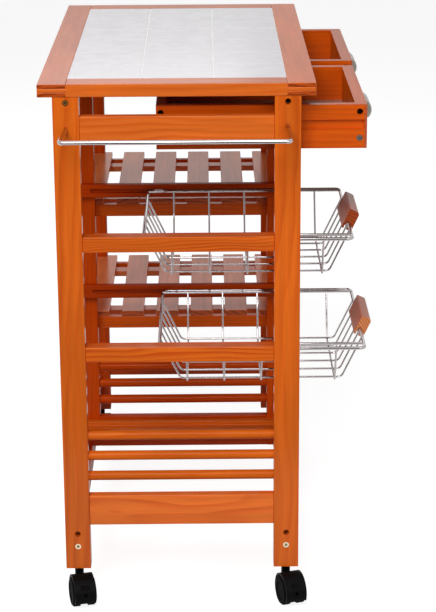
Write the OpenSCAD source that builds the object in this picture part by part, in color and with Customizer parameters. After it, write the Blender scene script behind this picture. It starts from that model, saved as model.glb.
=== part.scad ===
// Rolling kitchen trolley: tiled worktop, two drawers, two wire baskets, two slatted shelves.
// X runs along the length (left end at -X), the drawers open towards -Y, Z is up from the floor.
// The origin is on the floor under the centre of the worktop.

/* [Worktop] */
// Height of the tiled surface above the floor
worktop_height = 750; // [650:1:900]
// Thickness of the wooden frame round the tiles
top_thickness = 17.5; // [16:0.5:30]
// Distance from one tile to the next
tile_pitch = 98; // [90:1:110]
// Tiles along the length
tiles_long = 6; // [5:1:8]
// Tiles from front to back
tiles_deep = 3; // [3:1:4]
// Width of each grout line
grout_width = 2; // [1:0.5:4]
// Thickness of a tile
tile_thickness = 6; // [4:0.5:8]
// How far the grout lies below the tiles
grout_recess = 0.5; // [0.2:0.1:1]
// Width of the front and back frame pieces
stile_width = 38; // [30:1:60]
// Width of the end frame pieces
end_rail_width = 40; // [30:1:60]
// Thickness of the board under the tiles
board_thickness = 5; // [3:0.5:6]
// Depth of the groove that holds the board and the end pieces
top_groove_depth = 6; // [4:0.5:10]

/* [Posts] */
// Width of a post, front to back
post_width = 35; // [30:1:45]
// Thickness of a post along the length
post_thickness = 22; // [20:0.5:30]
// Outer width of the legs, front to back
frame_depth = 330.2; // [310:0.2:350]
// Height of the post ends above the floor
post_foot_height = 51.5; // [51:0.5:80]
// Middle of the centre posts, measured from the centre of the worktop
middle_offset = -5; // [-12:0.5:2]

/* [Rails] */
// Thickness of the rails
rail_thickness = 15; // [12:0.5:18]
// How far the end rails sit behind the post faces
rail_setback = 2; // [0:0.5:4]
// Height of the top end rails
top_rail_height = 38; // [30:0.2:50]
// Gap between the top end rails and the worktop
top_rail_gap = 26.5; // [20:0.1:35]
// Height of the two narrow end rails
narrow_rail_height = 21.4; // [18:0.1:35]
// Lower edge of the upper narrow rail
upper_rail_z = 518; // [505:1:530]
// Lower edge of the lower narrow rail
lower_rail_z = 360.5; // [350:0.5:375]
// Height of the middle and right foot rails
foot_rail_height = 49; // [40:1:60]
// Height of the left foot rail
left_foot_rail_height = 44.5; // [35:0.5:55]
// Lower edge of the left foot rail
left_foot_rail_z = 117.5; // [113:0.5:125]
// Height of the long foot rails under the centre posts
long_rail_height = 35; // [30:1:45]
// Height of the long foot rails above the post ends
long_rail_rise = 26; // [22:0.5:30]
// Thickness of the long foot rails and of the aprons
long_rail_thickness = 13; // [10:0.5:18]
// How far the long rails and aprons sit behind the outer post faces
long_rail_setback = 9; // [4:0.5:12]
// Height of the aprons under the worktop
apron_height = 15; // [12:0.5:18]

/* [Dowels] */
// Diameter of the round bars
dowel_d = 13.4; // [8:0.1:14]
// How deep a round bar enters each post
dowel_depth = 8; // [5:1:15]
// Round bars in each set
dowel_count = 3; // [1:1:3]
// Centre of the top bar at the left end
left_dowel_top = 250; // [240:1:255]
// Spacing of the bars at the left end
left_dowel_pitch = 30.3; // [26:0.1:34]
// Centre of the top bar in the middle
middle_dowel_top = 241; // [236:1:255]
// Spacing of the bars in the middle
middle_dowel_pitch = 27; // [20:0.1:28]

/* [Bottle ledge] */
// Height of the ledge across the centre posts
ledge_height = 19; // [15:0.5:25]
// Lower edge of the ledge
ledge_z = 138.5; // [130:0.5:150]
// Depth of the ledge from the posts
ledge_depth = 39; // [25:1:60]
// Thickness of its upstand
ledge_lip_thickness = 12; // [8:0.5:15]
// Height of its upstand
ledge_lip_height = 6.5; // [4:0.5:10]

/* [Shelves] */
// Top of the upper shelf
upper_shelf_z = 506.5; // [490:0.5:520]
// How far the upper shelf sits towards the back
upper_shelf_shift = 1.3; // [-4:0.1:4]
// Top of the lower shelf
lower_shelf_z = 327.5; // [310:0.5:345]
// How far the lower shelf sits towards the back
lower_shelf_shift = -3; // [-4:0.1:4]
// Slats in a shelf
slat_count = 6; // [4:1:7]
// Width of a slat
slat_width = 34; // [25:1:40]
// Thickness of slats and battens
slat_thickness = 9; // [7:0.5:12]
// Distance from one slat to the next
slat_pitch = 53.3; // [45:0.1:55]
// How far the slats reach past the inner face of the right posts
slat_overrun = 8; // [2:1:12]
// Width of a batten
batten_width = 25; // [18:1:35]
// Inset of the battens from the shelf rails
batten_inset = 22; // [15:1:40]
// Height of a shelf rail
shelf_rail_height = 18.5; // [15:0.5:25]
// Thickness of shelf rails and basket runners
runner_thickness = 12; // [10:0.5:15]
// Gap between a slat and a post
slat_clearance = 0.5; // [0.3:0.1:1]

/* [Baskets] */
// Centre height of the upper basket rim
upper_basket_z = 527; // [515:1:540]
// Centre height of the lower basket rim
lower_basket_z = 369; // [355:1:385]
// How far the upper basket stands out of its closed place
upper_basket_out = 81.6; // [0:0.1:100]
// How far the lower basket stands out of its closed place
lower_basket_out = 101; // [0:0.1:110]
// Diameter of the rim wire
rim_wire_d = 5; // [4:0.5:6]
// Diameter of the side rods
rod_wire_d = 4; // [3:0.5:5]
// Diameter of the thin wires
mesh_wire_d = 2.8; // [2:0.2:3.5]
// Length of the rim, front to back
basket_depth = 291.8; // [270:0.1:300]
// Depth of the basket below its rim
basket_drop = 63; // [45:1:80]
// How far each sloping end leans in
basket_lean = 28.7; // [20:0.1:45]
// Spacing of the wires that run front to back
long_wire_pitch = 35; // [30:1:38]
// Wires that run front to back
long_wire_count = 6; // [4:1:7]
// Spacing of the wires that run across
cross_wire_pitch = 52.5; // [40:0.5:54]
// Wires that run across
cross_wire_count = 5; // [3:1:5]
// How far the flat of a crosswise wire reaches past the outermost long wires
cross_wire_reach = 3; // [3:0.5:10]
// Bend radius of the long wires at the bottom
long_wire_bend = 8; // [3:0.5:8]
// Bend radius of the crosswise wires at the bottom
cross_wire_bend = 2.4; // [1.8:0.1:2.4]
// Distance from the rim wire to the side rod
side_rod_inset = 15; // [12:0.5:20]
// Height of the side rod above the rim wire
side_rod_rise = 2; // [0:0.1:2.5]
// Depth of the groove in a basket runner
runner_groove_depth = 6.5; // [5:0.5:8]
// Play of the rim in its groove, up and down
runner_play = 0.3; // [0.2:0.1:0.8]
// End play of the rim between the two grooves
rim_end_play = 1; // [0.5:0.1:2]
// Height of a basket runner
runner_height = 20; // [16:1:26]
// Where the groove stops, measured from the back of the posts
groove_stop = 29.1; // [10:0.1:35]
// Gap between the closed rim and the end of its groove
basket_stop_gap = 3.3; // [1:0.1:5]

/* [Basket handles] */
// Length of a handle
handle_length = 102; // [70:1:130]
// Height of a handle
handle_height = 29.5; // [22:0.5:36]
// Thickness of a handle
handle_thickness = 15.2; // [12:0.2:20]
// How far the middle of a handle lies above the rim wire
handle_rise = 3.8; // [0:0.1:5]
// How far the middle of a handle lies outside the rim wire
handle_offset = 2; // [0:0.1:2.4]
// Rounding of the outer handle edges
handle_round = 4.5; // [1:0.5:5.5]
// Rounding of the handle edges that face the basket
handle_inner_round = 2; // [1:0.5:5.5]

/* [Drawers] */
// Depth of a drawer over its front
drawer_depth = 284.2; // [250:0.1:300]
// Height of a drawer
drawer_height = 60; // [50:1:64]
// Gap between the drawers and the apron
drawer_top_gap = 4; // [2:0.5:8]
// Gap between the left drawer and the centre posts
drawer_side_gap = 1.5; // [1:0.5:3]
// Gap between the left drawer and the left posts
drawer_outer_gap = 11.5; // [8:0.5:20]
// Gap between the right drawer and the right posts
right_drawer_gap = 10.5; // [8:0.5:20]
// How far the left drawer stands out of its closed place
left_drawer_out = 90.4; // [0:0.1:120]
// How far the right drawer stands out of its closed place
right_drawer_out = 93.2; // [0:0.1:120]
// Thickness of the drawer front
front_thickness = 16; // [12:0.5:20]
// Thickness of the lip that covers the side ends
front_lip = 3.6; // [2:0.2:6]
// Thickness of the drawer sides
side_thickness = 13; // [10:0.5:16]
// Thickness of the drawer back
back_thickness = 13; // [10:0.5:16]
// Thickness of the drawer bottom
bottom_thickness = 3; // [2:0.5:5]
// Height of the drawer bottom above the lower edge
bottom_rise = 8; // [5:0.5:12]
// Height of the runner groove above the lower edge
side_groove_rise = 26; // [20:0.2:30]
// Height of the runner groove
side_groove_height = 13.2; // [8:0.2:14]
// Depth of the runner groove
side_groove_depth = 5.5; // [4:0.5:8]
// Play between a drawer and its runner
drawer_play = 0.3; // [0.2:0.1:1]
// Height of the upper screws in a drawer side above its lower edge
drawer_screw_high = 50; // [46:0.5:54]
// Height of the lower screw in a drawer side above its lower edge
drawer_screw_low = 14; // [14:0.5:20]
// Length of a drawer screw
drawer_screw_length = 34; // [25:1:45]
// How far the drawer runners sit behind the post faces
drawer_runner_inset = 4; // [0:1:10]
// Length of the drawer runners
drawer_runner_length = 310; // [250:1:315]

/* [Cup pulls] */
// Radius of the cup
pull_radius = 15.5; // [13:0.5:20]
// Length of the straight part
pull_straight = 53; // [30:1:60]
// Wall of the cup
pull_wall = 1.6; // [1.2:0.1:3]
// How far the cup reaches below its centre line
pull_skirt = 9.5; // [5:0.5:12]
// How far the cup's centre line lies below the middle of the drawer front
pull_drop = 1.5; // [0:0.5:6]

/* [Towel bar] */
// Diameter of the bar
bar_d = 6; // [5:0.5:10]
// Height of the bar below the worktop frame
bar_drop = 42.5; // [34:0.5:60]
// How far the bar stands off the posts
bar_standoff = 84; // [50:1:100]
// Inside radius of the two bends
bar_bend = 2; // [2:0.5:15]
// How far the back corner of the bar stands out past its post
bar_splay = 3.4; // [0:0.1:6]
// Diameter of the wide mouth of the front hole
bar_mouth_d = 8.6; // [7:0.1:10]
// Depth of the wide mouth
bar_mouth_depth = 2; // [1:0.5:4]
// How deep the bar enters each post
bar_depth = 12; // [8:1:18]

/* [Screws] */
// Diameter of the screw heads
head_d = 8.4; // [7:0.2:11]
// Diameter of the screw shanks
shank_d = 4.5; // [3.5:0.1:6]
// Length of a screw
screw_length = 50; // [40:1:70]
// Depth of a sunk head below the post face
sunk_depth = 6; // [4:0.5:10]
// Spacing of the two screws in each post foot
foot_screw_spacing = 19.5; // [15:0.5:22]
// Distance from the top of the long rail to the upper foot screw
foot_screw_drop = 8; // [5:0.5:10]

/* [Casters] */
// Diameter of the caster wheels
wheel_d = 42; // [38:1:47]
// Width of one wheel
wheel_width = 11; // [9:0.5:12]
// Width over both wheels
caster_width = 34; // [33:0.5:44]
// Distance from the stem to the axle
caster_trail = 21.5; // [16:0.5:24]
// Wall of the hood over the wheels
hood_wall = 3; // [1:0.2:4]
// Width of the hood
hood_width = 30; // [22:1:36]
// Height of the lower edge of the hood above the floor
hood_clearance = 11.5; // [5:0.5:14]
// Height of the lip of the hood above the axle
hood_lip_rise = 12; // [10:0.5:14]
// Width of the lip
hood_lip_width = 12; // [6:0.5:14]
// Gap between hood and wheels
hood_gap = 1.2; // [0.5:0.1:1.5]
// Diameter of the neck
neck_d = 12.6; // [9:0.2:14]
// Diameter of the stem
stem_d = 8; // [6:0.1:9]
// Length of the stem inside the socket
stem_length = 24; // [15:1:24]
// Running clearance of stem and axle
fit_clearance = 0.06; // [0.02:0.01:0.1]
// Diameter of the axle
axle_d = 5; // [4:0.1:6]
// Wall of the steel socket
socket_wall = 0.9; // [0.6:0.1:1.5]
// Diameter of the socket flange
flange_d = 13; // [11:0.5:16]
// Thickness of the socket flange
flange_thickness = 1.6; // [1:0.1:3]
// Turn of the left front caster in degrees
swivel_left_front = 18; // [0:1:40]
// Turn of the left back caster in degrees
swivel_left_back = 14; // [0:1:40]
// Turn of the right front caster in degrees
swivel_right_front = 14; // [0:1:40]
// Turn of the right back caster in degrees
swivel_right_back = 8; // [0:1:40]

/* [Hidden] */
$fn = 48;
eps = 0.01;
cut = 1;

// Worktop
field_length = tiles_long * tile_pitch;
field_depth = tiles_deep * tile_pitch;
top_length = field_length + 2 * end_rail_width;
top_depth = field_depth + 2 * stile_width;
top_underside = worktop_height - top_thickness;
board_top = worktop_height - tile_thickness;
board_z = board_top - board_thickness;
tile_side = tile_pitch - grout_width;

// Posts
post_y = (frame_depth - post_width) / 2;
post_inner_y = frame_depth / 2 - post_width;
left_x = -top_length / 2;
left_inner_x = left_x + post_thickness;
right_x = top_length / 2;
right_inner_x = right_x - post_thickness;
long_rail_z = post_foot_height + long_rail_rise;
long_rail_top = long_rail_z + long_rail_height;
middle_near_x = middle_offset - post_thickness / 2;
middle_far_x = middle_offset + post_thickness / 2;
apron_z = top_underside - apron_height;
top_rail_z = top_underside - top_rail_gap - top_rail_height;
bar_z = top_underside - bar_drop;
left_axis_x = left_x + post_thickness / 2;
right_axis_x = right_x - post_thickness / 2;

// Screws through the corner posts into the ends of the long rails and aprons
apron_screw_z = apron_z + apron_height / 2;
foot_screw_top = long_rail_top - foot_screw_drop;
foot_screw_low = foot_screw_top - foot_screw_spacing;
head_thickness = 2.5;
proud_depth = 0.5;

// Baskets
basket_left_x = left_inner_x + runner_thickness - runner_groove_depth + rim_end_play;
basket_right_x = middle_near_x - runner_thickness + runner_groove_depth - rim_end_play;
basket_x = (basket_left_x + basket_right_x) / 2;
rim_half_x = (basket_right_x - basket_left_x - rim_wire_d) / 2;
rim_half_y = (basket_depth - rim_wire_d) / 2;
rod_x = rim_half_x - side_rod_inset;
rim_corner = 8;
groove_end_y = frame_depth / 2 - groove_stop;
closed_basket_y = groove_end_y - basket_stop_gap - basket_depth / 2;
upper_basket_y = closed_basket_y - upper_basket_out;
lower_basket_y = closed_basket_y - lower_basket_out;
mesh_overlap = 0.4;
long_wire_low = mesh_wire_d - basket_drop;
long_wire_edge = (long_wire_count - 1) / 2 * long_wire_pitch;
handle_lean = atan(-basket_lean / long_wire_low);

// Drawers
drawer_z = apron_z - drawer_top_gap - drawer_height;
left_drawer_x = left_inner_x + drawer_outer_gap;
drawer_width = middle_near_x - drawer_side_gap - left_drawer_x;
right_drawer_x = right_inner_x - right_drawer_gap - drawer_width;
left_drawer_y = -frame_depth / 2 - left_drawer_out;
right_drawer_y = -frame_depth / 2 - right_drawer_out;
drawer_runner_z = drawer_z + side_groove_rise + drawer_play;
drawer_runner_height = side_groove_height - 2 * drawer_play;
pull_z = drawer_z + drawer_height / 2 - pull_drop;
bottom_groove = 5;

// Casters
axle_z = wheel_d / 2;
hood_inner_r = wheel_d / 2 + hood_gap;
hood_outer_r = hood_inner_r + hood_wall;
web_width = caster_width - 2 * wheel_width - 2 * hood_gap;
socket_od = stem_d + 2 * fit_clearance + 2 * socket_wall;
neck_top = post_foot_height - flange_thickness - 0.3;

pine = "#d9793a";
chrome = "#d5d5da";

// A box given by its two opposite corners
module box(low, high) {
  translate(low) cube(high - low);
}

// A round bar between two points
module rod(a, b, d) {
  v = b - a;
  length = norm(v);
  tilt = acos(v[2] / length);
  turn = atan2(v[1], v[0]);
  translate(a) rotate([0, tilt, turn]) cylinder(h = length, d = d);
}

// ---- Worktop ----

// A groove or slot in a worktop piece, at the level of the board
module board_channel(low, high) {
  box([low[0], low[1], board_z], [high[0], high[1], board_top]);
}

// Front or back frame piece, grooved for the board and slotted at both ends for the tenons
module top_stile(side) {
  inner = field_depth / 2;
  color(pine) mirror([0, side > 0 ? 0 : 1, 0]) difference() {
    box([left_x, inner, top_underside], [right_x, top_depth / 2, worktop_height]);
    board_channel([left_x - cut, inner - cut], [right_x + cut, inner + top_groove_depth]);
    both_ends() board_channel([field_length / 2, inner - cut], [right_x + cut, top_depth / 2 + cut]);
  }
}

// End frame piece, whose two tenons run right through the stiles
module top_end_rail(side) {
  inner = field_length / 2;
  reach = field_depth / 2;
  color(pine) mirror([side > 0 ? 0 : 1, 0, 0]) difference() {
    union() {
      box([inner, -reach, top_underside], [right_x, reach, worktop_height]);
      box([inner, -top_depth / 2, board_z], [right_x, top_depth / 2, board_top]);
    }
    board_channel([inner - cut, -reach - top_groove_depth],
                  [inner + top_groove_depth, reach + top_groove_depth]);
  }
}

module tile_board() {
  x = field_length / 2 + top_groove_depth;
  y = field_depth / 2 + top_groove_depth;
  color("tan") box([-x, -y, board_z], [x, y, board_top]);
}

module tile_grid(size, height) {
  for (i = [0 : tiles_long - 1], j = [0 : tiles_deep - 1]) {
    translate([(i - (tiles_long - 1) / 2) * tile_pitch - size / 2,
               (j - (tiles_deep - 1) / 2) * tile_pitch - size / 2, board_top])
      cube([size, size, height]);
  }
}

module tiles() {
  color("whitesmoke") tile_grid(tile_side, tile_thickness);
}

module grout() {
  color("white") difference() {
    box([-field_length / 2, -field_depth / 2, board_top],
        [field_length / 2, field_depth / 2, worktop_height - grout_recess]);
    translate([0, 0, -cut]) tile_grid(tile_side, tile_thickness + 2 * cut);
  }
}

// ---- Screws ----

// Screw with its head towards -X, sunk by depth below the face at the origin
module screw(depth, length) {
  translate([depth, 0, 0]) rotate([0, 90, 0]) {
    difference() {
      cylinder(h = head_thickness, d = head_d);
      translate([0, 0, -cut]) cylinder(h = cut + 1, d = 2.6, $fn = 6);
    }
    translate([0, 0, head_thickness - eps]) cylinder(h = length - head_thickness, d = shank_d);
  }
}

// The hole that a screw leaves in the outer piece and in the piece behind it
module screw_hole(depth, length) {
  translate([-cut, 0, 0]) rotate([0, 90, 0]) cylinder(h = depth + head_thickness + cut, d = head_d);
  rotate([0, 90, 0]) cylinder(h = depth + length, d = shank_d);
}

// Every screw of the left end, on both posts; the right end is its mirror image
module end_screws(holes) {
  for (y = [-post_y, post_y]) {
    for (item = [[apron_screw_z, y < 0 ? sunk_depth : proud_depth],
                 [foot_screw_top, sunk_depth], [foot_screw_low, proud_depth]]) {
      translate([left_x, y, item[0]]) {
        if (holes) screw_hole(item[1], screw_length);
        else screw(item[1], screw_length);
      }
    }
  }
}

module both_ends() {
  children();
  mirror([1, 0, 0]) children();
}

module frame_screws() {
  color("darkgoldenrod") both_ends() end_screws(false);
}

// ---- Posts ----

module dowel_set(x, top, pitch, reach) {
  for (i = [0 : dowel_count - 1]) {
    translate([x, -reach, top - i * pitch]) rotate([-90, 0, 0]) cylinder(h = 2 * reach, d = dowel_d);
  }
}

module left_dowel_bars() {
  dowel_set(left_axis_x, left_dowel_top, left_dowel_pitch, post_inner_y + dowel_depth);
}

module middle_dowel_bars() {
  dowel_set(middle_offset, middle_dowel_top, middle_dowel_pitch, post_inner_y + dowel_depth);
}

module socket_hole(x, y) {
  translate([x, y, post_foot_height - cut]) cylinder(h = stem_length + cut + 2, d = socket_od);
}

module corner_post(end, side) {
  x = end * left_axis_x * -1;
  y = side * post_y;
  color(pine) difference() {
    box([x - post_thickness / 2, y - post_width / 2, post_foot_height],
        [x + post_thickness / 2, y + post_width / 2, top_underside]);
    both_ends() end_screws(true);
    socket_hole(x, y);
    if (end < 0) {
      left_dowel_bars();
      towel_bar_shape();
      if (side < 0) bar_mouth();
    }
  }
}

module middle_post(side) {
  y = side * post_y;
  color(pine) difference() {
    box([middle_near_x, y - post_width / 2, long_rail_top],
        [middle_far_x, y + post_width / 2, apron_z]);
    middle_dowel_bars();
  }
}

// ---- Rails ----

// A board across an end, between its two posts
module cross_rail(x, z, height) {
  color(pine) box([x, -post_inner_y, z], [x + rail_thickness, post_inner_y, z + height]);
}

left_rail_x = left_x + rail_setback;
right_rail_x = right_x - rail_setback - rail_thickness;
low_foot_rail_z = long_rail_top;

module left_foot_rail() {
  cross_rail(left_rail_x, left_foot_rail_z, left_foot_rail_height);
}

module left_dowels() {
  color(pine) left_dowel_bars();
}

module middle_dowels() {
  color(pine) middle_dowel_bars();
}

// Two boards along the length, between the end posts
module long_rails(z, height) {
  outer = frame_depth / 2 - long_rail_setback;
  inner = outer - long_rail_thickness;
  color(pine) difference() {
    for (side = [0, 1]) {
      mirror([0, side, 0]) box([left_inner_x, inner, z], [right_inner_x, outer, z + height]);
    }
    both_ends() end_screws(true);
  }
}

// Stepped ledge across the front faces of the centre posts
module bottle_ledge() {
  top_z = ledge_z + ledge_height;
  front_x = middle_near_x - ledge_depth;
  color(pine) difference() {
    box([front_x, -frame_depth / 2, ledge_z], [middle_near_x, frame_depth / 2, top_z]);
    box([front_x - cut, -frame_depth / 2 - cut, top_z - ledge_lip_height],
        [middle_near_x - ledge_lip_thickness, frame_depth / 2 + cut, top_z + cut]);
  }
}

// ---- Shelves ----

module shelf_slats(z, shift) {
  color(pine) difference() {
    for (i = [0 : slat_count - 1]) {
      y = (i - (slat_count - 1) / 2) * slat_pitch + shift;
      box([middle_far_x + slat_clearance, y - slat_width / 2, z - slat_thickness],
          [right_inner_x + slat_overrun, y + slat_width / 2, z]);
    }
    for (side = [-1, 1]) {
      notch_y = side * post_y - post_width / 2 - slat_clearance;
      translate([right_inner_x - slat_clearance, notch_y, z - slat_thickness - cut])
        cube([post_thickness, post_width + 2 * slat_clearance, slat_thickness + 2 * cut]);
    }
  }
}

module shelf_battens() {
  reach = ((slat_count - 1) * slat_pitch + slat_width) / 2;
  near = middle_far_x + runner_thickness + batten_inset;
  far = right_inner_x - runner_thickness - batten_inset;
  color(pine) for (x = [near, far - batten_width]) {
    for (shelf = [[upper_shelf_z, upper_shelf_shift], [lower_shelf_z, lower_shelf_shift]]) {
      translate([x, shelf[1] - reach, shelf[0] - 2 * slat_thickness])
        cube([batten_width, 2 * reach, slat_thickness]);
    }
  }
}

module shelf_rails(x) {
  color(pine) for (z = [upper_shelf_z, lower_shelf_z]) {
    box([x, -frame_depth / 2, z - slat_thickness - shelf_rail_height],
        [x + runner_thickness, frame_depth / 2, z - slat_thickness]);
  }
}

// ---- Basket and drawer runners ----

// Two grooved boards; the grooves face +X when side is 1 and -X when it is -1
module basket_runners(x, side) {
  groove = rim_wire_d + 2 * runner_play;
  color(pine) for (z = [upper_basket_z, lower_basket_z]) {
    difference() {
      box([x, -frame_depth / 2, z - runner_height / 2],
          [x + runner_thickness, frame_depth / 2, z + runner_height / 2]);
      translate([side > 0 ? x + runner_thickness - runner_groove_depth : x - cut,
                 -frame_depth / 2 - cut, z - groove / 2])
        cube([runner_groove_depth + cut, frame_depth / 2 + cut + groove_end_y, groove]);
    }
  }
}

// Four sticks on the posts that carry the drawers in their side grooves
module drawer_runners() {
  depth = side_groove_depth - drawer_play;
  left = left_drawer_x;
  right = right_drawer_x;
  color(pine) for (span = [[left_inner_x, left + depth],
                           [left + drawer_width - depth, middle_near_x],
                           [middle_far_x, right + depth],
                           [right + drawer_width - depth, right_inner_x]]) {
    translate([span[0], drawer_runner_inset - frame_depth / 2, drawer_runner_z])
      cube([span[1] - span[0], drawer_runner_length, drawer_runner_height]);
  }
}

// ---- Towel bar ----

// Straight bar with two bent legs that end in the left posts
module towel_bar_shape() {
  root_x = left_x + bar_depth;
  x = left_x - bar_standoff;
  bent_wire([[root_x, -post_y, bar_z], [x, -post_y, bar_z],
             [x, post_y + bar_splay, bar_z], [root_x, post_y, bar_z]], bar_bend + bar_d / 2, bar_d);
}

// Wide mouth of the front hole, in which the bar rests on the bottom
module bar_mouth() {
  translate([left_x - cut, -post_y, bar_z + (bar_mouth_d - bar_d) / 2])
    rotate([0, 90, 0]) cylinder(h = bar_mouth_depth + cut, d = bar_mouth_d);
}

module towel_bar() {
  color(chrome) towel_bar_shape();
}

// ---- Drawers ----

// Each drawer is given by its left side x and by y, the outer face of its front

// The screws through both drawer sides, or the holes they leave
module drawer_screw_set(x, y, holes) {
  front_y = y + (front_lip + front_thickness) / 2;
  back_y = y + drawer_depth - back_thickness / 2;
  for (item = [[front_y, drawer_screw_high, sunk_depth], [front_y, drawer_screw_low, proud_depth],
               [back_y, drawer_screw_high, sunk_depth], [back_y, drawer_screw_low, proud_depth]]) {
    for (end = [0, 1]) {
      translate([x + end * drawer_width, item[0], drawer_z + item[1]]) mirror([end, 0, 0]) {
        if (holes) screw_hole(item[2], drawer_screw_length);
        else screw(item[2], drawer_screw_length);
      }
    }
  }
}

module drawer_screws(x, y) {
  color("silver") drawer_screw_set(x, y, false);
}

module drawer_front(x, y) {
  inner_y = y + front_thickness;
  color(pine) difference() {
    box([x, y, drawer_z], [x + drawer_width, inner_y, drawer_z + drawer_height]);
    for (side_x = [x - cut, x + drawer_width - side_thickness]) {
      box([side_x, y + front_lip, drawer_z - cut],
          [side_x + side_thickness + cut, inner_y + cut, drawer_z + drawer_height + cut]);
    }
    drawer_bottom_shape(x, y);
    drawer_screw_set(x, y, true);
  }
}

module drawer_sides(x, y) {
  rear_y = y + drawer_depth;
  groove_z = drawer_z + side_groove_rise;
  color(pine) difference() {
    for (side_x = [x, x + drawer_width - side_thickness]) {
      box([side_x, y + front_lip, drawer_z], [side_x + side_thickness, rear_y, drawer_z + drawer_height]);
    }
    for (groove_x = [x - cut, x + drawer_width - side_groove_depth]) {
      box([groove_x, y, groove_z],
          [groove_x + side_groove_depth + cut, rear_y + cut, groove_z + side_groove_height]);
    }
    drawer_bottom_shape(x, y);
    drawer_screw_set(x, y, true);
  }
}

module drawer_back(x, y) {
  rear_y = y + drawer_depth;
  color(pine) difference() {
    box([x + side_thickness, rear_y - back_thickness, drawer_z],
        [x + drawer_width - side_thickness, rear_y, drawer_z + drawer_height]);
    drawer_bottom_shape(x, y);
    drawer_screw_set(x, y, true);
  }
}

module drawer_bottom_shape(x, y) {
  box([x + side_thickness - bottom_groove, y + front_thickness - bottom_groove, drawer_z + bottom_rise],
      [x + drawer_width - side_thickness + bottom_groove, y + drawer_depth - back_thickness + bottom_groove,
       drawer_z + bottom_rise + bottom_thickness]);
}

module drawer_bottom(x, y) {
  color("rosybrown") drawer_bottom_shape(x, y);
}

// Outline of the cup: a half-round trough with ball ends
module cup_solid(r) {
  rotate([0, 90, 0]) cylinder(h = pull_straight, r = r, center = true);
  for (end = [-1, 1]) translate([end * pull_straight / 2, 0, 0]) sphere(r = r);
}

module drawer_pull(x, y) {
  reach = pull_straight / 2 + pull_radius;
  color("silver") translate([x + drawer_width / 2, y, pull_z]) intersection() {
    difference() {
      cup_solid(pull_radius);
      cup_solid(pull_radius - pull_wall);
    }
    box([-reach - cut, -pull_radius - cut, -pull_skirt], [reach + cut, 0, pull_radius + cut]);
  }
}

// ---- Baskets ----

// Round bend of a wire at corner p, arriving along the unit vector a and leaving along b
module wire_bend(p, a, b, radius, d) {
  angle = acos(a * b);
  middle = p + (b - a) * radius / sin(angle);
  u = (p - a * radius * tan(angle / 2) - middle) / radius;
  w = cross(u, a);
  multmatrix([[u[0], a[0], w[0], middle[0]], [u[1], a[1], w[1], middle[1]], [u[2], a[2], w[2], middle[2]]])
    rotate_extrude(angle = angle) translate([radius, 0]) circle(d = d);
}

// A wire through four points, with round bends at the two in the middle. The bends are a
// shade thicker than the straights, which run a little way into them.
module bent_wire(points, radius, d) {
  run_in = 0.3;
  swell = 0.1;
  ways = [for (i = [0 : 2]) (points[i + 1] - points[i]) / norm(points[i + 1] - points[i])];
  cuts = [for (i = [0 : 1]) radius * tan(acos(ways[i] * ways[i + 1]) / 2) - run_in];
  rod(points[0], points[1] - ways[0] * cuts[0], d);
  rod(points[1] + ways[1] * cuts[0], points[2] - ways[1] * cuts[1], d);
  rod(points[2] + ways[2] * cuts[1], points[3], d);
  for (i = [0, 1]) wire_bend(points[i + 1], ways[i], ways[i + 1], radius, d + swell);
}

// Front-to-back wire with its two sloping ends
module long_wire(x) {
  top_y = rim_half_y;
  low_y = rim_half_y - basket_lean;
  bent_wire([[x, -top_y, 0], [x, -low_y, long_wire_low], [x, low_y, long_wire_low], [x, top_y, 0]],
            long_wire_bend, mesh_wire_d);
}

// Crosswise wire, hung from the two side rods and sloping in towards the bottom
module cross_wire(y) {
  low_x = long_wire_edge + cross_wire_reach;
  low_z = mesh_overlap - basket_drop;
  top_z = side_rod_rise;
  bent_wire([[-rod_x, y, top_z], [-low_x, y, low_z], [low_x, y, low_z], [rod_x, y, top_z]],
            cross_wire_bend, mesh_wire_d);
}

module rim_loop() {
  straight_x = rim_half_x - rim_corner;
  straight_y = rim_half_y - rim_corner;
  for (side = [-1, 1]) {
    rod([side * rim_half_x, -straight_y, 0], [side * rim_half_x, straight_y, 0], rim_wire_d);
    rod([-straight_x, side * rim_half_y, 0], [straight_x, side * rim_half_y, 0], rim_wire_d);
  }
  for (turn = [0, 90, 180, 270]) {
    corner_x = turn == 0 || turn == 270 ? straight_x : -straight_x;
    corner_y = turn < 180 ? straight_y : -straight_y;
    translate([corner_x, corner_y, 0]) rotate([0, 0, turn])
      rotate_extrude(angle = 90) translate([rim_corner, 0]) circle(d = rim_wire_d);
  }
}

module basket(y, z) {
  $fn = 24;
  color(chrome) translate([basket_x, y, z]) union() {
    rim_loop();
    for (side = [-1, 1]) {
      rod([side * rod_x, -rim_half_y, side_rod_rise], [side * rod_x, rim_half_y, side_rod_rise], rod_wire_d);
    }
    for (i = [0 : long_wire_count - 1]) long_wire((i - (long_wire_count - 1) / 2) * long_wire_pitch);
    for (i = [0 : cross_wire_count - 1]) {
      cross_wire((i - (cross_wire_count - 1) / 2) * cross_wire_pitch);
    }
  }
}

// Handle section: a block with rounded corners and a slot for the rim wire and the sloping wires
module handle_section() {
  w = handle_thickness / 2;
  h = handle_height / 2;
  r = handle_round;
  q = handle_inner_round;
  slot = rim_wire_d;
  difference() {
    translate([-handle_offset, handle_rise]) {
      for (side = [-1, 1]) {
        translate([r - w, side * (h - r)]) circle(r = r);
        translate([w - q, side * (h - q)]) circle(r = q);
      }
      polygon([[r - w, -h], [w - q, -h], [w, q - h], [w, h - q], [w - q, h], [r - w, h],
               [-w, h - r], [-w, r - h]]);
    }
    circle(d = slot);
    translate([-slot / 2, -handle_height]) square([slot, handle_height]);
  }
}

module basket_handle(y, z) {
  color("sienna") translate([basket_x, y - rim_half_y, z]) rotate([handle_lean, 0, 0])
    rotate([90, 0, 90]) linear_extrude(height = handle_length, center = true) handle_section();
}

// ---- Casters ----

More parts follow.
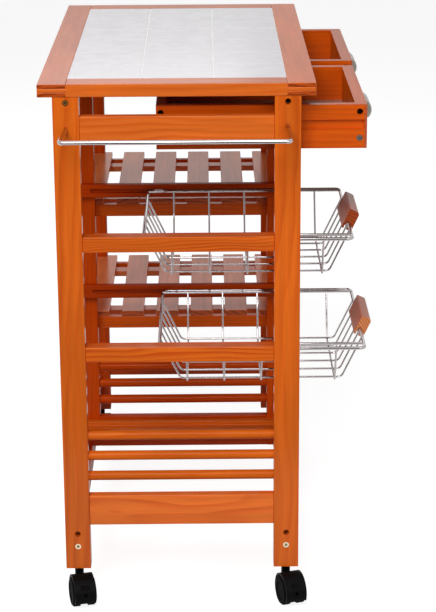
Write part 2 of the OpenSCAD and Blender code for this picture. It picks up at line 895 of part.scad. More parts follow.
module caster_sockets() {
  color("silver") for (x = [left_axis_x, right_axis_x], y = [-post_y, post_y]) {
    translate([x, y, post_foot_height]) difference() {
      union() {
        cylinder(h = stem_length + 1, d = socket_od);
        translate([0, 0, -flange_thickness]) cylinder(h = flange_thickness, d = flange_d);
      }
      translate([0, 0, -flange_thickness - cut])
        cylinder(h = stem_length + flange_thickness + cut + 0.5, d = stem_d + 2 * fit_clearance);
    }
  }
}

// Places a caster's own frame: stem axis at the origin, wheels trailing towards -X
module at_caster(x, y, turn) {
  translate([x, y, 0]) rotate([0, 0, turn]) children();
}

// Cylinder about the axle, which lies across the caster
module about_axle(r, width) {
  translate([-caster_trail, 0, axle_z]) rotate([90, 0, 0]) cylinder(h = width, r = r, center = true);
}

// Hood, web between the wheels, neck and stem, all in one piece
module caster_body(x, y, turn) {
  neck_z = axle_z + 10;
  lip_out = 1.6;
  lip_height = 4.5;
  lip_x = -caster_trail - sqrt(pow(hood_outer_r, 2) - pow(hood_lip_rise, 2)) - lip_out;
  recess_width = 4.4;
  recess_height = 5;
  recess_depth = 4;
  big = 3 * wheel_d;
  color("#26262a") at_caster(x, y, turn) {
    difference() {
      union() {
        about_axle(hood_outer_r - 0.4, web_width);
        about_axle(hood_outer_r, hood_width);
        translate([0, 0, neck_z]) cylinder(h = neck_top - neck_z, d = neck_d);
        translate([lip_x, -hood_lip_width / 2, axle_z + hood_lip_rise]) cube([6, hood_lip_width, lip_height]);
      }
      difference() {
        about_axle(hood_inner_r, caster_width + cut);
        about_axle(hood_inner_r + cut, web_width);
      }
      about_axle(axle_d / 2 + fit_clearance, caster_width);
      translate([-caster_trail - hood_outer_r - cut, -recess_width / 2, axle_z + 1])
        cube([recess_depth + cut, recess_width, recess_height]);
      translate([-big / 2, -big / 2, hood_clearance - big]) cube(big);
    }
    translate([0, 0, neck_z]) cylinder(h = post_foot_height + stem_length - 1 - neck_z, d = stem_d);
  }
}

// Two wheels with rounded-off outer edges and dished sides, on their shared axle
module caster_wheels(x, y, turn) {
  r = wheel_d / 2;
  shoulder = 2.5;
  rim = 5;
  dish = 1.2;
  side = wheel_width;
  color("#1d1d20") at_caster(x, y, turn) translate([-caster_trail, 0, axle_z]) rotate([90, 0, 0]) {
    for (end = [0, 1]) mirror([0, 0, end]) translate([0, 0, caster_width / 2 - wheel_width])
      rotate_extrude() polygon([[0, 0], [r, 0], [r, side - shoulder], [r - shoulder, side],
               [r - shoulder - rim, side], [r - shoulder - rim - dish, side - dish], [0, side - dish]]);
    cylinder(h = caster_width - wheel_width, d = axle_d, center = true);
  }
}

top_stile(-1);  // top_stile_front
top_stile(1);  // top_stile_back
top_end_rail(-1);  // top_end_rail_left
top_end_rail(1);  // top_end_rail_right
tile_board();
tiles();
grout();
corner_post(-1, -1);  // post_left_front
corner_post(-1, 1);  // post_left_back
middle_post(-1);  // post_middle_front
middle_post(1);  // post_middle_back
corner_post(1, -1);  // post_right_front
corner_post(1, 1);  // post_right_back
cross_rail(left_rail_x, top_rail_z, top_rail_height);  // left_top_rail
cross_rail(left_rail_x, upper_rail_z, narrow_rail_height);  // left_upper_rail
cross_rail(left_rail_x, lower_rail_z, narrow_rail_height);  // left_lower_rail
left_dowels();
left_foot_rail();
basket_runners(left_inner_x, 1);  // left_basket_runners
basket_runners(middle_near_x - runner_thickness, -1);  // middle_basket_runners
bottle_ledge();
middle_dowels();
cross_rail(middle_near_x, low_foot_rail_z, foot_rail_height);  // middle_foot_rail
shelf_rails(middle_far_x);  // middle_shelf_rails
cross_rail(right_rail_x, top_rail_z, top_rail_height);  // right_top_rail
shelf_rails(right_inner_x - runner_thickness);  // right_shelf_rails
cross_rail(right_rail_x, low_foot_rail_z, foot_rail_height);  // right_foot_rail
shelf_slats(upper_shelf_z, upper_shelf_shift);  // upper_shelf_slats
shelf_slats(lower_shelf_z, lower_shelf_shift);  // lower_shelf_slats
shelf_battens();
long_rails(long_rail_z, long_rail_height);  // long_foot_rails
long_rails(apron_z, apron_height);  // top_aprons
drawer_runners();
towel_bar();
frame_screws();
caster_sockets();
drawer_front(left_drawer_x, left_drawer_y);  // left_drawer_front
drawer_sides(left_drawer_x, left_drawer_y);  // left_drawer_sides
drawer_back(left_drawer_x, left_drawer_y);  // left_drawer_back
drawer_bottom(left_drawer_x, left_drawer_y);  // left_drawer_bottom
drawer_pull(left_drawer_x, left_drawer_y);  // left_drawer_pull
drawer_screws(left_drawer_x, left_drawer_y);  // left_drawer_screws
drawer_front(right_drawer_x, right_drawer_y);  // right_drawer_front
drawer_sides(right_drawer_x, right_drawer_y);  // right_drawer_sides
drawer_back(right_drawer_x, right_drawer_y);  // right_drawer_back
drawer_bottom(right_drawer_x, right_drawer_y);  // right_drawer_bottom
drawer_pull(right_drawer_x, right_drawer_y);  // right_drawer_pull
drawer_screws(right_drawer_x, right_drawer_y);  // right_drawer_screws
basket(upper_basket_y, upper_basket_z);  // upper_basket
basket_handle(upper_basket_y, upper_basket_z);  // upper_basket_handle
basket(lower_basket_y, lower_basket_z);  // lower_basket
basket_handle(lower_basket_y, lower_basket_z);  // lower_basket_handle
caster_body(left_axis_x, -post_y, swivel_left_front);  // caster_left_front
caster_wheels(left_axis_x, -post_y, swivel_left_front);  // wheels_left_front
caster_body(left_axis_x, post_y, swivel_left_back);  // caster_left_back
caster_wheels(left_axis_x, post_y, swivel_left_back);  // wheels_left_back
caster_body(right_axis_x, -post_y, swivel_right_front);  // caster_right_front
caster_wheels(right_axis_x, -post_y, swivel_right_front);  // wheels_right_front
caster_body(right_axis_x, post_y, swivel_right_back);  // caster_right_back
caster_wheels(right_axis_x, post_y, swivel_right_back);  // wheels_right_back
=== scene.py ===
"""Rolling kitchen trolley: looks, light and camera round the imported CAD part."""

import math
import random

import bpy
from mathutils import Matrix, Vector

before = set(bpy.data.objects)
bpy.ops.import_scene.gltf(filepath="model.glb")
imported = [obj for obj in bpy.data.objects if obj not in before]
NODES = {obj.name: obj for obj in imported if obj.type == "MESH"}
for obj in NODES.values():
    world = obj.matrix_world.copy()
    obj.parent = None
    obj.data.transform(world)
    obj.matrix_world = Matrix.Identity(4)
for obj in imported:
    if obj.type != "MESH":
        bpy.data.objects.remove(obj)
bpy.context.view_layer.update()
AXES = {"x": 0, "y": 1, "z": 2}


# ---------------------------------------------------------------- materials


def srgb(red, green, blue):
    """A colour given in 0 to 255 display values, as linear RGBA."""
    def linear(value):
        share = value / 255
        return share / 12.92 if share <= 0.04045 else ((share + 0.055) / 1.055) ** 2.4

    return (linear(red), linear(green), linear(blue), 1.0)


class Shader:
    """A node material that is built call by call. Each call takes and returns sockets or plain values."""

    def __init__(self, name, **surface):
        self.material = bpy.data.materials.new(name)
        self.material.use_nodes = True
        self.tree = self.material.node_tree
        self.bsdf = self.tree.nodes["Principled BSDF"]
        coordinates = self.node("TexCoord")
        self.place = coordinates.outputs["Object"]
        self.normal = coordinates.outputs["Normal"]
        for key, value in surface.items():
            self.plug(self.bsdf.inputs[key.replace("_", " ")], value)

    def plug(self, socket, value):
        if isinstance(value, bpy.types.NodeSocket):
            self.tree.links.new(value, socket)
        else:
            socket.default_value = value

    def node(self, kind, inputs=None, **settings):
        made = self.tree.nodes.new("ShaderNode" + kind)
        for key, value in settings.items():
            setattr(made, key, value)
        for key, value in (inputs or {}).items():
            self.plug(made.inputs[key], value)
        return made

    def math(self, operation, *values):
        return self.node("Math", dict(enumerate(values)), operation=operation).outputs[0]

    def split(self, vector):
        return self.node("SeparateXYZ", {0: vector}).outputs[:3]

    def join(self, x, y, z):
        return self.node("CombineXYZ", {0: x, 1: y, 2: z}).outputs[0]

    def stretched(self, sizes, shift=0.0):
        """Object coordinates divided by a feature size for each axis, in metres."""
        offset = (shift, shift * 0.7, shift * 1.3)
        moved = self.node("VectorMath", {0: self.place, 1: offset}, operation="ADD")
        rates = [1 / size for size in sizes]
        scaled = self.node("VectorMath", {0: moved.outputs[0], 1: rates}, operation="MULTIPLY")
        return scaled.outputs[0]

    def noise(self, sizes, detail=2.0, roughness=0.5, shift=0.0):
        """Noise from 0 to 1 whose features have about the given size along each axis, in metres."""
        made = self.node(
            "TexNoise",
            {"Vector": self.stretched(sizes, shift), "Scale": 1.0, "Detail": detail, "Roughness": roughness},
        )
        return made.outputs["Fac"]

    def remap(self, value, low, high, new_low=0.0, new_high=1.0, smooth=True):
        made = self.node(
            "MapRange",
            {"Value": value, "From Min": low, "From Max": high, "To Min": new_low, "To Max": new_high},
            interpolation_type="SMOOTHSTEP" if smooth else "LINEAR",
        )
        return made.outputs["Result"]

    def mix(self, share, first, second, blend="MIX"):
        made = self.node("Mix", {0: share, 6: first, 7: second}, data_type="RGBA", blend_type=blend)
        return made.outputs[2]

    def tone(self, colour, factor):
        """A colour made darker or lighter by a factor socket."""
        grey = self.join(factor, factor, factor)
        return self.mix(1.0, colour, grey, "MULTIPLY")

    def edges(self):
        """From 0 on flat faces that follow the axes to 1 on rounded edges."""
        x, y, z = [self.math("ABSOLUTE", part) for part in self.split(self.normal)]
        largest = self.math("MAXIMUM", self.math("MAXIMUM", x, y), z)
        return self.remap(largest, 0.98, 0.8)

    def bump(self, height, depth):
        made = self.node("Bump", {"Height": height, "Distance": depth, "Strength": 1.0})
        self.plug(self.bsdf.inputs["Normal"], made.outputs[0])

    def colour(self, value):
        self.plug(self.bsdf.inputs["Base Color"], value)
        return self

    def roughness(self, value):
        self.plug(self.bsdf.inputs["Roughness"], value)
        return self


# early wood, late wood, end grain and rubbed edges of each tone of pine; deep and dark are darker copies of
# one pine that paint the shade on the parts inside the frame, at its far end and under the worktop
WOODS = {
    "pale": (srgb(226, 110, 36), srgb(204, 80, 16), srgb(184, 74, 18), srgb(232, 122, 52)),
    "warm": (srgb(225, 105, 22), srgb(202, 77, 10), srgb(186, 74, 20), srgb(228, 114, 38)),
    # deep and dark: painted shade, darker copies of the same pine for the parts in shade
    "deep": (srgb(208, 74, 6), srgb(184, 54, 3), srgb(170, 60, 12), srgb(212, 88, 20)),
    "dark": (srgb(190, 62, 4), srgb(166, 46, 2), srgb(156, 54, 10), srgb(196, 76, 16)),
    "side": (srgb(214, 88, 9), srgb(194, 65, 5), srgb(178, 68, 14), srgb(220, 98, 26)),
    "front": (srgb(222, 100, 20), srgb(198, 72, 8), srgb(190, 88, 48), srgb(206, 96, 44)),
    # slat: a paler copy of the pine that paints light onto the shelf slats and battens, which lie in the
    # worktop's shadow
    "slat": (srgb(248, 142, 84), srgb(232, 122, 66), srgb(200, 92, 48), srgb(248, 148, 94)),
    "grip": (srgb(208, 100, 54), srgb(176, 74, 36), srgb(168, 70, 26), srgb(210, 108, 62)),
    "grip_pale": (srgb(208, 100, 54), srgb(176, 74, 36), srgb(228, 142, 88), srgb(210, 108, 62)),
}


def pine(name, wood, along, seed, ring=6.0, contrast=0.5, shade=1.0, flat=True, gloss=None):
    """Lacquered pine. The yearly rings are tubes round a pith line that runs beside the piece.

    along is the axis that the grain follows, ring the ring spacing in millimetres, and contrast
    the strength of the dark late wood, from 0 to 1.
    """
    light, dark, end, edge = WOODS[wood]
    gloss = gloss or {"deep": 0.3, "dark": 0.3, "slat": 0.7}.get(wood, 0.6)
    draw = random.Random(seed)
    shift = draw.uniform(-3, 3)
    s = Shader(name, Coat_Weight=gloss, Coat_Roughness=0.2, Coat_IOR=1.4, Specular_IOR_Level=0.0)
    order = [AXES[along]] + [i for i in range(3) if i != AXES[along]]

    def sized(length, across):
        sizes = [across] * 3
        sizes[order[0]] = length
        return sizes

    parts = s.split(s.place)
    g, u, v = (parts[i] for i in order)
    waves = s.math("SUBTRACT", s.noise(sized(0.30, 0.05), 2.0, 0.5, shift), 0.5)
    drift = s.math("SUBTRACT", s.noise(sized(0.11, 0.03), 1.0, 0.5, shift + 5), 0.5)
    angle = draw.uniform(0, 2 * math.pi)
    distance = draw.uniform(0.05, 0.11)
    pith_u, pith_v = distance * math.cos(angle), distance * math.sin(angle)
    lean = draw.uniform(-0.025, 0.025)
    side_u = s.math("ADD", u, s.math("MULTIPLY_ADD", waves, 0.030, pith_u))
    side_v = s.math("ADD", v, s.math("MULTIPLY_ADD", drift, 0.012, pith_v))
    square_u = s.math("MULTIPLY", side_u, side_u)
    square_v = s.math("MULTIPLY", side_v, side_v)
    radius = s.math("SQRT", s.math("ADD", square_u, square_v))
    radius = s.math("MULTIPLY_ADD", g, lean, radius)
    rings = s.math("FRACT", s.math("DIVIDE", radius, ring / 1000))
    ringed = s.math("MULTIPLY", s.remap(rings, 0.25, 0.86), s.remap(rings, 1.0, 0.93))
    patchy = s.remap(s.noise(sized(0.20, 0.02), 1.0, 0.5, shift + 9), 0.35, 0.65, 0.45, 1.0)
    late = s.math("MULTIPLY", ringed, s.math("MULTIPLY", patchy, contrast))

    colour = s.mix(late, light, dark)
    fibres = s.noise(sized(0.08, 0.0016), 3.0, 0.6, shift)
    streaks = s.noise(sized(0.25, 0.008), 2.0, 0.5, shift + 2)
    cloud = s.noise(sized(0.30, 0.07), 2.0, 0.5, shift + 4)
    fibre_tone = s.remap(fibres, 0.3, 0.7, 0.95, 1.04)
    tone = s.math("MULTIPLY", fibre_tone, s.remap(streaks, 0.3, 0.7, 0.93, 1.05))
    # shade scales each part lighter or darker: partly the board's own tone, partly painted light and shade
    tone = s.math("MULTIPLY", tone, s.remap(cloud, 0.3, 0.7, 0.88 * shade, 1.08 * shade))
    colour = s.tone(colour, tone)
    ends = s.math("ABSOLUTE", s.split(s.normal)[order[0]])
    ends = s.remap(ends, 0.75, 0.95)
    pores = s.noise([0.0012] * 3, 2.0, 0.6, shift)
    ringed = s.math("MULTIPLY", ringed, min(1.0, contrast * 1.8))
    end_colour = s.mix(ringed, end, [channel * 0.3 for channel in dark[:3]] + [1.0])
    end_colour = s.tone(end_colour, s.remap(pores, 0.3, 0.7, 0.88, 1.1))
    colour = s.mix(ends, colour, end_colour)
    if flat:
        wear = s.remap(s.noise([0.02] * 3, 2.0, 0.5, shift), 0.35, 0.7, 0.15, 0.6)
        rubbed = s.math("MULTIPLY", s.edges(), wear)
        colour = s.mix(rubbed, colour, edge)
    s.colour(colour)
    s.roughness(s.remap(fibres, 0.3, 0.7, 0.42, 0.54))
    s.bump(s.math("MULTIPLY_ADD", late, 0.6, fibres), 0.00008)
    return s.material


# tone of pine, axis of the grain, seed, ring spacing in mm, contrast, shade; shade makes each part lighter or
# darker, partly as the boards' own tone and partly as painted light and shade
PINE_PARTS = {
    "top_stile_front": ("pale", "x", 218, 6.0, 0.45, 1.16),
    "top_stile_back": ("pale", "x", 110, 6.5, 0.45, 1.02),
    "top_end_rail_left": ("pale", "y", 13, 8.0, 0.45, 1.02),
    "top_end_rail_right": ("pale", "y", 14, 7.0, 0.30, 1.02),
    "post_left_front": ("warm", "z", 21, 7.0, 0.6, 0.98),
    "post_left_back": ("warm", "z", 22, 8.0, 0.6, 0.98),
    "post_middle_front": ("deep", "z", 23, 7.0, 0.40, 0.96),
    "post_middle_back": ("deep", "z", 24, 7.0, 0.40, 0.96),
    "post_right_front": ("deep", "z", 25, 7.0, 0.40, 0.96),
    "post_right_back": ("deep", "z", 26, 7.0, 0.40, 0.96),
    "left_top_rail": ("pale", "y", 31, 9.0, 0.6, 1.02),
    "left_upper_rail": ("warm", "y", 32, 4.0, 1.0, 1.0),
    "left_lower_rail": ("warm", "y", 33, 4.0, 1.0, 1.0),
    "left_foot_rail": ("pale", "y", 34, 6.0, 0.7, 1.12),
    "left_basket_runners": ("side", "y", 35, 6.0, 0.45, 1.14),
    "middle_basket_runners": ("dark", "y", 36, 6.0, 0.45, 0.96),
    "bottle_ledge": ("warm", "y", 37, 5.0, 0.50, 1.0),
    "middle_foot_rail": ("deep", "y", 38, 6.0, 0.45, 0.98),
    "middle_shelf_rails": ("side", "y", 39, 6.0, 0.45, 1.04),
    "right_top_rail": ("dark", "y", 40, 6.0, 0.45, 0.96),
    "right_shelf_rails": ("side", "y", 41, 5.0, 0.55, 1.04),
    "right_foot_rail": ("deep", "y", 42, 6.0, 0.45, 0.96),
    # the slat tone and the shade of 1.1 paint light onto the slats under the worktop
    "upper_shelf_slats": ("slat", "x", 43, 7.0, 0.40, 1.1),
    "lower_shelf_slats": ("slat", "x", 44, 7.0, 0.40, 1.1),
    "shelf_battens": ("slat", "y", 45, 6.0, 0.40, 0.85),
    "long_foot_rails": ("deep", "x", 46, 6.0, 0.45, 0.98),
    "top_aprons": ("dark", "x", 47, 6.0, 0.45, 0.96),
    "drawer_runners": ("dark", "y", 48, 6.0, 0.45, 0.96),
    "left_drawer_front": ("front", "x", 51, 7.0, 0.12, 0.94),
    "left_drawer_sides": ("side", "y", 52, 7.0, 0.38, 1.0),
    "left_drawer_back": ("dark", "x", 53, 7.0, 0.45, 0.98),
    "right_drawer_front": ("front", "x", 54, 7.0, 0.12, 0.94),
    "right_drawer_sides": ("side", "y", 55, 7.0, 0.38, 1.0),
    "right_drawer_back": ("dark", "x", 56, 7.0, 0.45, 0.98),
}
ROUND_PARTS = {
    "left_dowels": ("warm", "y", 61, 4.0, 0.45, 0.93),
    # deep tone: painted shade on the middle dowels inside the frame
    "middle_dowels": ("deep", "y", 62, 4.0, 0.55, 0.96),
}


def tile_glaze():
    """Glazed tiles: each a little lighter or darker, with faint clouds and paler rounded edges."""
    s = Shader("tile_glaze", Coat_Weight=0.15, Coat_Roughness=0.08, Coat_IOR=1.5, Specular_IOR_Level=0.3)
    cell = s.node("VectorMath", {0: s.place, 1: (TILE_PITCH, TILE_PITCH, 1.0)}, operation="DIVIDE").outputs[0]
    whole = s.node("VectorMath", {0: cell}, operation="FLOOR").outputs[0]
    each = s.node("TexWhiteNoise", {"Vector": whole}).outputs["Value"]
    cloud = s.noise([0.05, 0.05, 0.05], 2.0)
    each_tone = s.remap(each, 0, 1, 0.985, 1.01, False)
    colour = s.tone(TILE_COLOUR, s.math("MULTIPLY", each_tone, s.remap(cloud, 0.3, 0.7, 0.99, 1.01)))
    s.colour(s.mix(s.math("MULTIPLY", s.edges(), 0.4), colour, srgb(240, 238, 240)))
    s.roughness(s.remap(s.noise([0.02] * 3, 2.0), 0.3, 0.7, 0.16, 0.24))
    s.bump(s.noise([0.03, 0.03, 0.03], 2.0), 0.0001)
    return s.material


def grout_cement():
    """Sealed white grout with fine grains."""
    s = Shader("grout_cement", Coat_Weight=0.3, Coat_Roughness=0.1, Coat_IOR=1.5, Specular_IOR_Level=0.5)
    grains = s.noise([0.0015] * 3, 3.0, 0.7)
    colour = s.mix(s.noise([0.04] * 3), srgb(248, 246, 247), srgb(254, 252, 253))
    s.colour(s.tone(colour, s.remap(grains, 0.3, 0.7, 0.95, 1.03)))
    s.roughness(s.remap(grains, 0.3, 0.7, 0.3, 0.45))
    s.bump(grains, 0.00001)
    return s.material


def plain_board(name, light, dark):
    """Thin pressed board: a fine felt of fibres with soft clouds and faint printed grain."""
    s = Shader(name, Specular_IOR_Level=0.4)
    felt = s.noise([0.002, 0.0012, 0.002], 3.0, 0.65)
    lines = s.noise([0.12, 0.004, 0.12], 2.0, 0.5)
    cloud = s.noise([0.08] * 3, 2.0)
    share = s.math("MULTIPLY_ADD", lines, 0.5, s.math("MULTIPLY", cloud, 0.5))
    s.colour(s.tone(s.mix(s.remap(share, 0.35, 0.65), light, dark), s.remap(felt, 0.3, 0.7, 0.95, 1.04)))
    s.roughness(s.remap(felt, 0.3, 0.7, 0.5, 0.65))
    s.bump(felt, 0.0001)
    return s.material


def bright_metal(name, colour, rough, brushed=None):
    """Polished or brushed metal with faint marks; brushed is the axis that the marks follow."""
    s = Shader(name, Metallic=1.0)
    sizes = [0.003] * 3
    if brushed:
        sizes = [0.0006] * 3
        sizes[AXES[brushed]] = 0.02
    marks = s.noise(sizes, 3.0, 0.6)
    smudges = s.noise([0.02] * 3, 2.0)
    mark_tone = s.remap(marks, 0.3, 0.7, 0.95, 1.03)
    s.colour(s.tone(colour, s.math("MULTIPLY", mark_tone, s.remap(smudges, 0.3, 0.7, 0.95, 1.02))))
    s.roughness(s.remap(marks, 0.3, 0.7, rough * 0.8, rough * 1.3))
    s.bump(marks, 0.00003 if brushed else 0.000002)
    return s.material


def screw_metal_painted_shade():
    """Frame screws: pale plated heads at the feet, bronze heads higher up, and nearly black heads at the top
    front, which is painted shade of the holes they sit deep in.
    """
    s = Shader("screw_metal_painted_shade", Metallic=1.0)
    x, y, z = s.split(s.place)
    across = s.math("SUBTRACT", s.math("ABSOLUTE", y), POST_Y)
    up = s.math("SUBTRACT", z, FOOT_SCREW_Z)
    radius = s.math("SQRT", s.math("ADD", s.math("MULTIPLY", across, across), s.math("MULTIPLY", up, up)))
    marks = s.noise([0.0012] * 3, 3.0, 0.6)
    rim = s.remap(radius, 0.0020, 0.0026)
    pale = s.mix(rim, srgb(150, 132, 96), srgb(232, 222, 196))
    across_top = s.math("SUBTRACT", z, TOP_SCREW_Z)
    square_across = s.math("MULTIPLY", across, across)
    square_top = s.math("MULTIPLY", across_top, across_top)
    top_radius = s.math("SQRT", s.math("ADD", square_across, square_top))
    # painted shade: the top front heads sit deep in their holes, so their centres are painted nearly black
    dark = s.mix(s.remap(top_radius, 0.0024, 0.0032), srgb(12, 5, 2), srgb(120, 62, 30))
    bronze_head = s.mix(s.remap(marks, 0.35, 0.65), srgb(168, 124, 66), srgb(110, 76, 38))
    bronze_head = s.mix(s.remap(top_radius, 0.0016, 0.0010), bronze_head, srgb(50, 30, 14))
    bronze_head = s.mix(s.remap(top_radius, 0.0030, 0.0038), bronze_head, srgb(70, 40, 16))
    near_foot = s.math("LESS_THAN", s.math("ABSOLUTE", up), 0.007)
    near_top = s.math("MULTIPLY", s.math("GREATER_THAN", z, 0.65), s.math("GREATER_THAN", y, 0.0))
    colour = s.mix(near_top, dark, bronze_head)
    colour = s.mix(near_foot, colour, pale)
    s.colour(s.tone(colour, s.remap(marks, 0.3, 0.7, 0.9, 1.06)))
    s.roughness(s.remap(marks, 0.3, 0.7, 0.4, 0.55))
    s.bump(marks, 0.00003)
    return s.material


def drawer_screw_metal_painted_shade():
    """Drawer screws: plated grey heads below, and nearly black upper heads, painted shade of the deep holes
    they sit in.
    """
    s = Shader("drawer_screw_metal_painted_shade", Metallic=1.0)
    marks = s.noise([0.0014] * 3, 3.0, 0.6)
    grey = s.mix(s.remap(marks, 0.35, 0.65), srgb(128, 124, 122), srgb(84, 80, 78))
    # above 0.685 m the heads are painted nearly black: the shade of their deep holes
    s.colour(s.mix(s.math("GREATER_THAN", s.split(s.place)[2], 0.685), grey, srgb(24, 14, 8)))
    s.roughness(s.remap(marks, 0.3, 0.7, 0.4, 0.55))
    s.bump(marks, 0.00004)
    return s.material


def black_plastic(name, colour, rough):
    """Moulded black plastic with a fine grain and a lighter mottling that is strongest on its upper faces."""
    s = Shader(name, Specular_IOR_Level=0.04)
    grain = s.noise([0.0008] * 3, 2.0, 0.6)
    upper_mottle = s.remap(s.noise([0.008] * 3, 3.0, 0.6), 0.45, 0.8, 0.0, 0.2)
    up = s.remap(s.split(s.normal)[2], 0.2, 1.0, 0.3, 1.0)
    colour = s.mix(s.math("MULTIPLY", upper_mottle, up), colour, srgb(24, 22, 22))
    s.colour(s.mix(s.math("MULTIPLY", s.edges(), 0.12), colour, srgb(40, 39, 40)))
    s.roughness(s.remap(grain, 0.3, 0.7, rough * 0.85, rough * 1.15))
    s.bump(grain, 0.00005)
    return s.material


TILE_PITCH = 0.098
POST_Y = 0.1476
FOOT_SCREW_Z = 0.085
TOP_SCREW_Z = 0.725
TILE_COLOUR = srgb(231, 226, 231)

chrome = bright_metal("chrome", srgb(184, 178, 178), 0.05)
nickel = bright_metal("brushed_nickel", srgb(134, 127, 119), 0.30, "x")
zinc = bright_metal("zinc_plate", srgb(186, 186, 190), 0.30)
hood_plastic = black_plastic("hood_plastic", srgb(10, 9, 10), 0.42)
wheel_plastic = black_plastic("wheel_plastic", srgb(6, 5, 6), 0.75)
drawer_screws = drawer_screw_metal_painted_shade()
under_board = plain_board("under_board", srgb(196, 164, 128), srgb(176, 142, 106))
drawer_board = plain_board("drawer_board", srgb(186, 140, 118), srgb(164, 116, 96))


def dress(node, material):
    """Gives a CAD node one material all over."""
    mesh = NODES[node].data
    mesh.materials.clear()
    mesh.materials.append(material)


def soften(node, radius, segments=2):
    """Rounds the sharp edges of a CAD node with modifiers, so its own mesh stays as it was packed."""
    thing = NODES[node]
    weld = thing.modifiers.new("weld", "WELD")
    weld.merge_threshold = 1e-5
    flat = thing.modifiers.new("flat", "DECIMATE")
    flat.decimate_type = "DISSOLVE"
    flat.angle_limit = math.radians(1)
    bevel = thing.modifiers.new("bevel", "BEVEL")
    bevel.width = radius
    bevel.segments = segments
    bevel.limit_method = "ANGLE"
    bevel.angle_limit = math.radians(40)
    bevel.use_clamp_overlap = True
    normals = thing.modifiers.new("normals", "WEIGHTED_NORMAL")
    normals.keep_sharp = False
    normals.weight = 80


for node, look in PINE_PARTS.items():
    dress(node, pine("pine_" + node, *look))
    soften(node, 0.0011)
for node, look in ROUND_PARTS.items():
    dress(node, pine("pine_" + node, *look, flat=False, gloss=0.2))
dress("upper_basket_handle", pine("pine_upper_handle", "grip", "x", 71, 4.0, 0.3, 1.0, gloss=0.6))
dress("lower_basket_handle", pine("pine_lower_handle", "grip_pale", "x", 72, 4.0, 0.3, 1.0, gloss=0.6))

dress("tiles", tile_glaze())
soften("tiles", 0.0003)
dress("grout", grout_cement())
dress("tile_board", under_board)
for side in ("left", "right"):
    dress(side + "_drawer_bottom", drawer_board)
    dress(side + "_drawer_pull", nickel)
    dress(side + "_drawer_screws", drawer_screws)
dress("frame_screws", screw_metal_painted_shade())
dress("caster_sockets", zinc)
for node in ("towel_bar", "upper_basket", "lower_basket"):
    dress(node, chrome)
for node in NODES:
    if node.startswith("caster_") and node != "caster_sockets":
        dress(node, hood_plastic)
    if node.startswith("wheels_"):
        dress(node, wheel_plastic)


# ---------------------------------------------------------------- floor, light and camera


def own_light(tree, strength_seen, strength_lit):
    """Strength socket: one value for what the camera and reflections see, another for the light given off."""
    rays = tree.nodes.new("ShaderNodeLightPath")
    seen = None
    for name in ("Is Camera Ray", "Is Glossy Ray", "Is Transmission Ray"):
        if seen is None:
            seen = rays.outputs[name]
            continue
        both = tree.nodes.new("ShaderNodeMath")
        both.operation = "MAXIMUM"
        tree.links.new(seen, both.inputs[0])
        tree.links.new(rays.outputs[name], both.inputs[1])
        seen = both.outputs[0]
    scale = tree.nodes.new("ShaderNodeMapRange")
    scale.inputs["To Min"].default_value = strength_lit
    scale.inputs["To Max"].default_value = strength_seen
    tree.links.new(seen, scale.inputs["Value"])
    return scale.outputs["Result"]


world = bpy.data.worlds.new("studio")
bpy.context.scene.world = world
world.use_nodes = True
background = world.node_tree.nodes["Background"]
background.inputs["Color"].default_value = (1, 1, 1, 1)
world.node_tree.links.new(own_light(world.node_tree, 1.0, 0.05), background.inputs["Strength"])

bpy.ops.mesh.primitive_circle_add(vertices=96, radius=14, fill_type="NGON", location=(0, 0, 0))
floor = bpy.context.object
floor.name = "floor"
floor_material = bpy.data.materials.new("floor_white")
floor_material.use_nodes = True
floor_bsdf = floor_material.node_tree.nodes["Principled BSDF"]
floor_bsdf.inputs["Base Color"].default_value = (0.45, 0.45, 0.45, 1)
floor_bsdf.inputs["Roughness"].default_value = 0.9
floor_bsdf.inputs["Specular IOR Level"].default_value = 0.1
floor_bsdf.inputs["Emission Color"].default_value = (1, 1, 1, 1)
floor_material.node_tree.links.new(
    own_light(floor_material.node_tree, 0.87, 0.0), floor_bsdf.inputs["Emission Strength"]
)
floor.data.materials.append(floor_material)


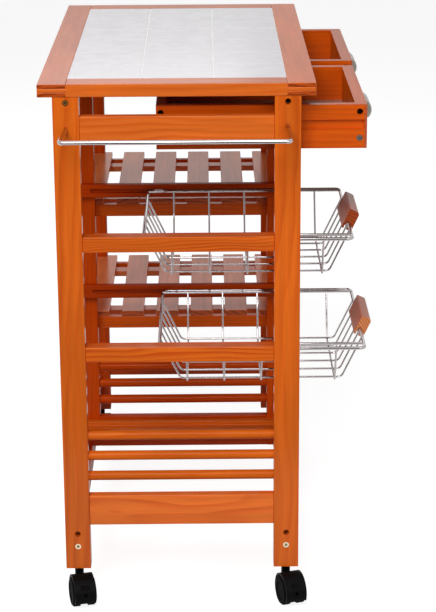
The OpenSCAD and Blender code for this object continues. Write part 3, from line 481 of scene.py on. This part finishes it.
def lamp(name, place, target, size, power):
    """A square soft box that points from place to target."""
    light = bpy.data.lights.new(name, "AREA")
    light.shape = "SQUARE"
    light.size = size
    light.energy = power
    thing = bpy.data.objects.new(name, light)
    bpy.context.scene.collection.objects.link(thing)
    direction = Vector(target) - Vector(place)
    thing.matrix_world = Matrix.Translation(place) @ direction.to_track_quat("-Z", "Y").to_matrix().to_4x4()
    return thing


lamp("key", (-2.6, 0.5, 2.6), (0, 0, 0.4), 1.6, 80)
lamp("fill", (-2.6, -1.2, 1.1), (0, 0, 0.4), 1.4, 15)
lamp("back", (2.4, 0.6, 2.2), (0, 0, 0.5), 1.8, 15)


def card(name, grey, corners):
    """A dull studio card that only reflections see."""
    material = bpy.data.materials.new(name)
    material.use_nodes = True
    bsdf = material.node_tree.nodes["Principled BSDF"]
    bsdf.inputs["Base Color"].default_value = (grey, grey, grey, 1)
    bsdf.inputs["Roughness"].default_value = 0.9
    bsdf.inputs["Specular IOR Level"].default_value = 0.0
    mesh = bpy.data.meshes.new(name)
    mesh.from_pydata(corners, [], [(0, 1, 2, 3)])
    thing = bpy.data.objects.new(name, mesh)
    bpy.context.scene.collection.objects.link(thing)
    mesh.materials.append(material)
    thing.visible_camera = False
    thing.visible_diffuse = False
    thing.visible_shadow = False


card("floor_card", 0.3, [(-5.0, -3.0, 0.002), (-0.9, -3.0, 0.002), (-0.9, 3.0, 0.002), (-5.0, 3.0, 0.002)])
card("wall_card", 0.02, [(-5.0, -3.0, 0.0), (-5.0, 3.0, 0.0), (-5.0, 3.0, 2.0), (-5.0, -3.0, 2.0)])

YAW, PITCH, ROLL = -0.00585, 0.30613, -0.00614
camera_data = bpy.data.cameras.new("camera")
camera_data.sensor_width = 36
camera_data.lens = 116.76
camera_data.clip_end = 60
camera = bpy.data.objects.new("camera", camera_data)
bpy.context.scene.collection.objects.link(camera)
camera.matrix_world = (
    Matrix.Translation((-2.9203, -0.0379, 1.2593))
    @ Matrix.Rotation(YAW - math.pi / 2, 4, "Z")
    @ Matrix.Rotation(math.pi / 2 - PITCH, 4, "X")
    @ Matrix.Rotation(ROLL, 4, "Z")
)
bpy.context.scene.camera = camera
bpy.context.scene.view_settings.view_transform = "Standard"
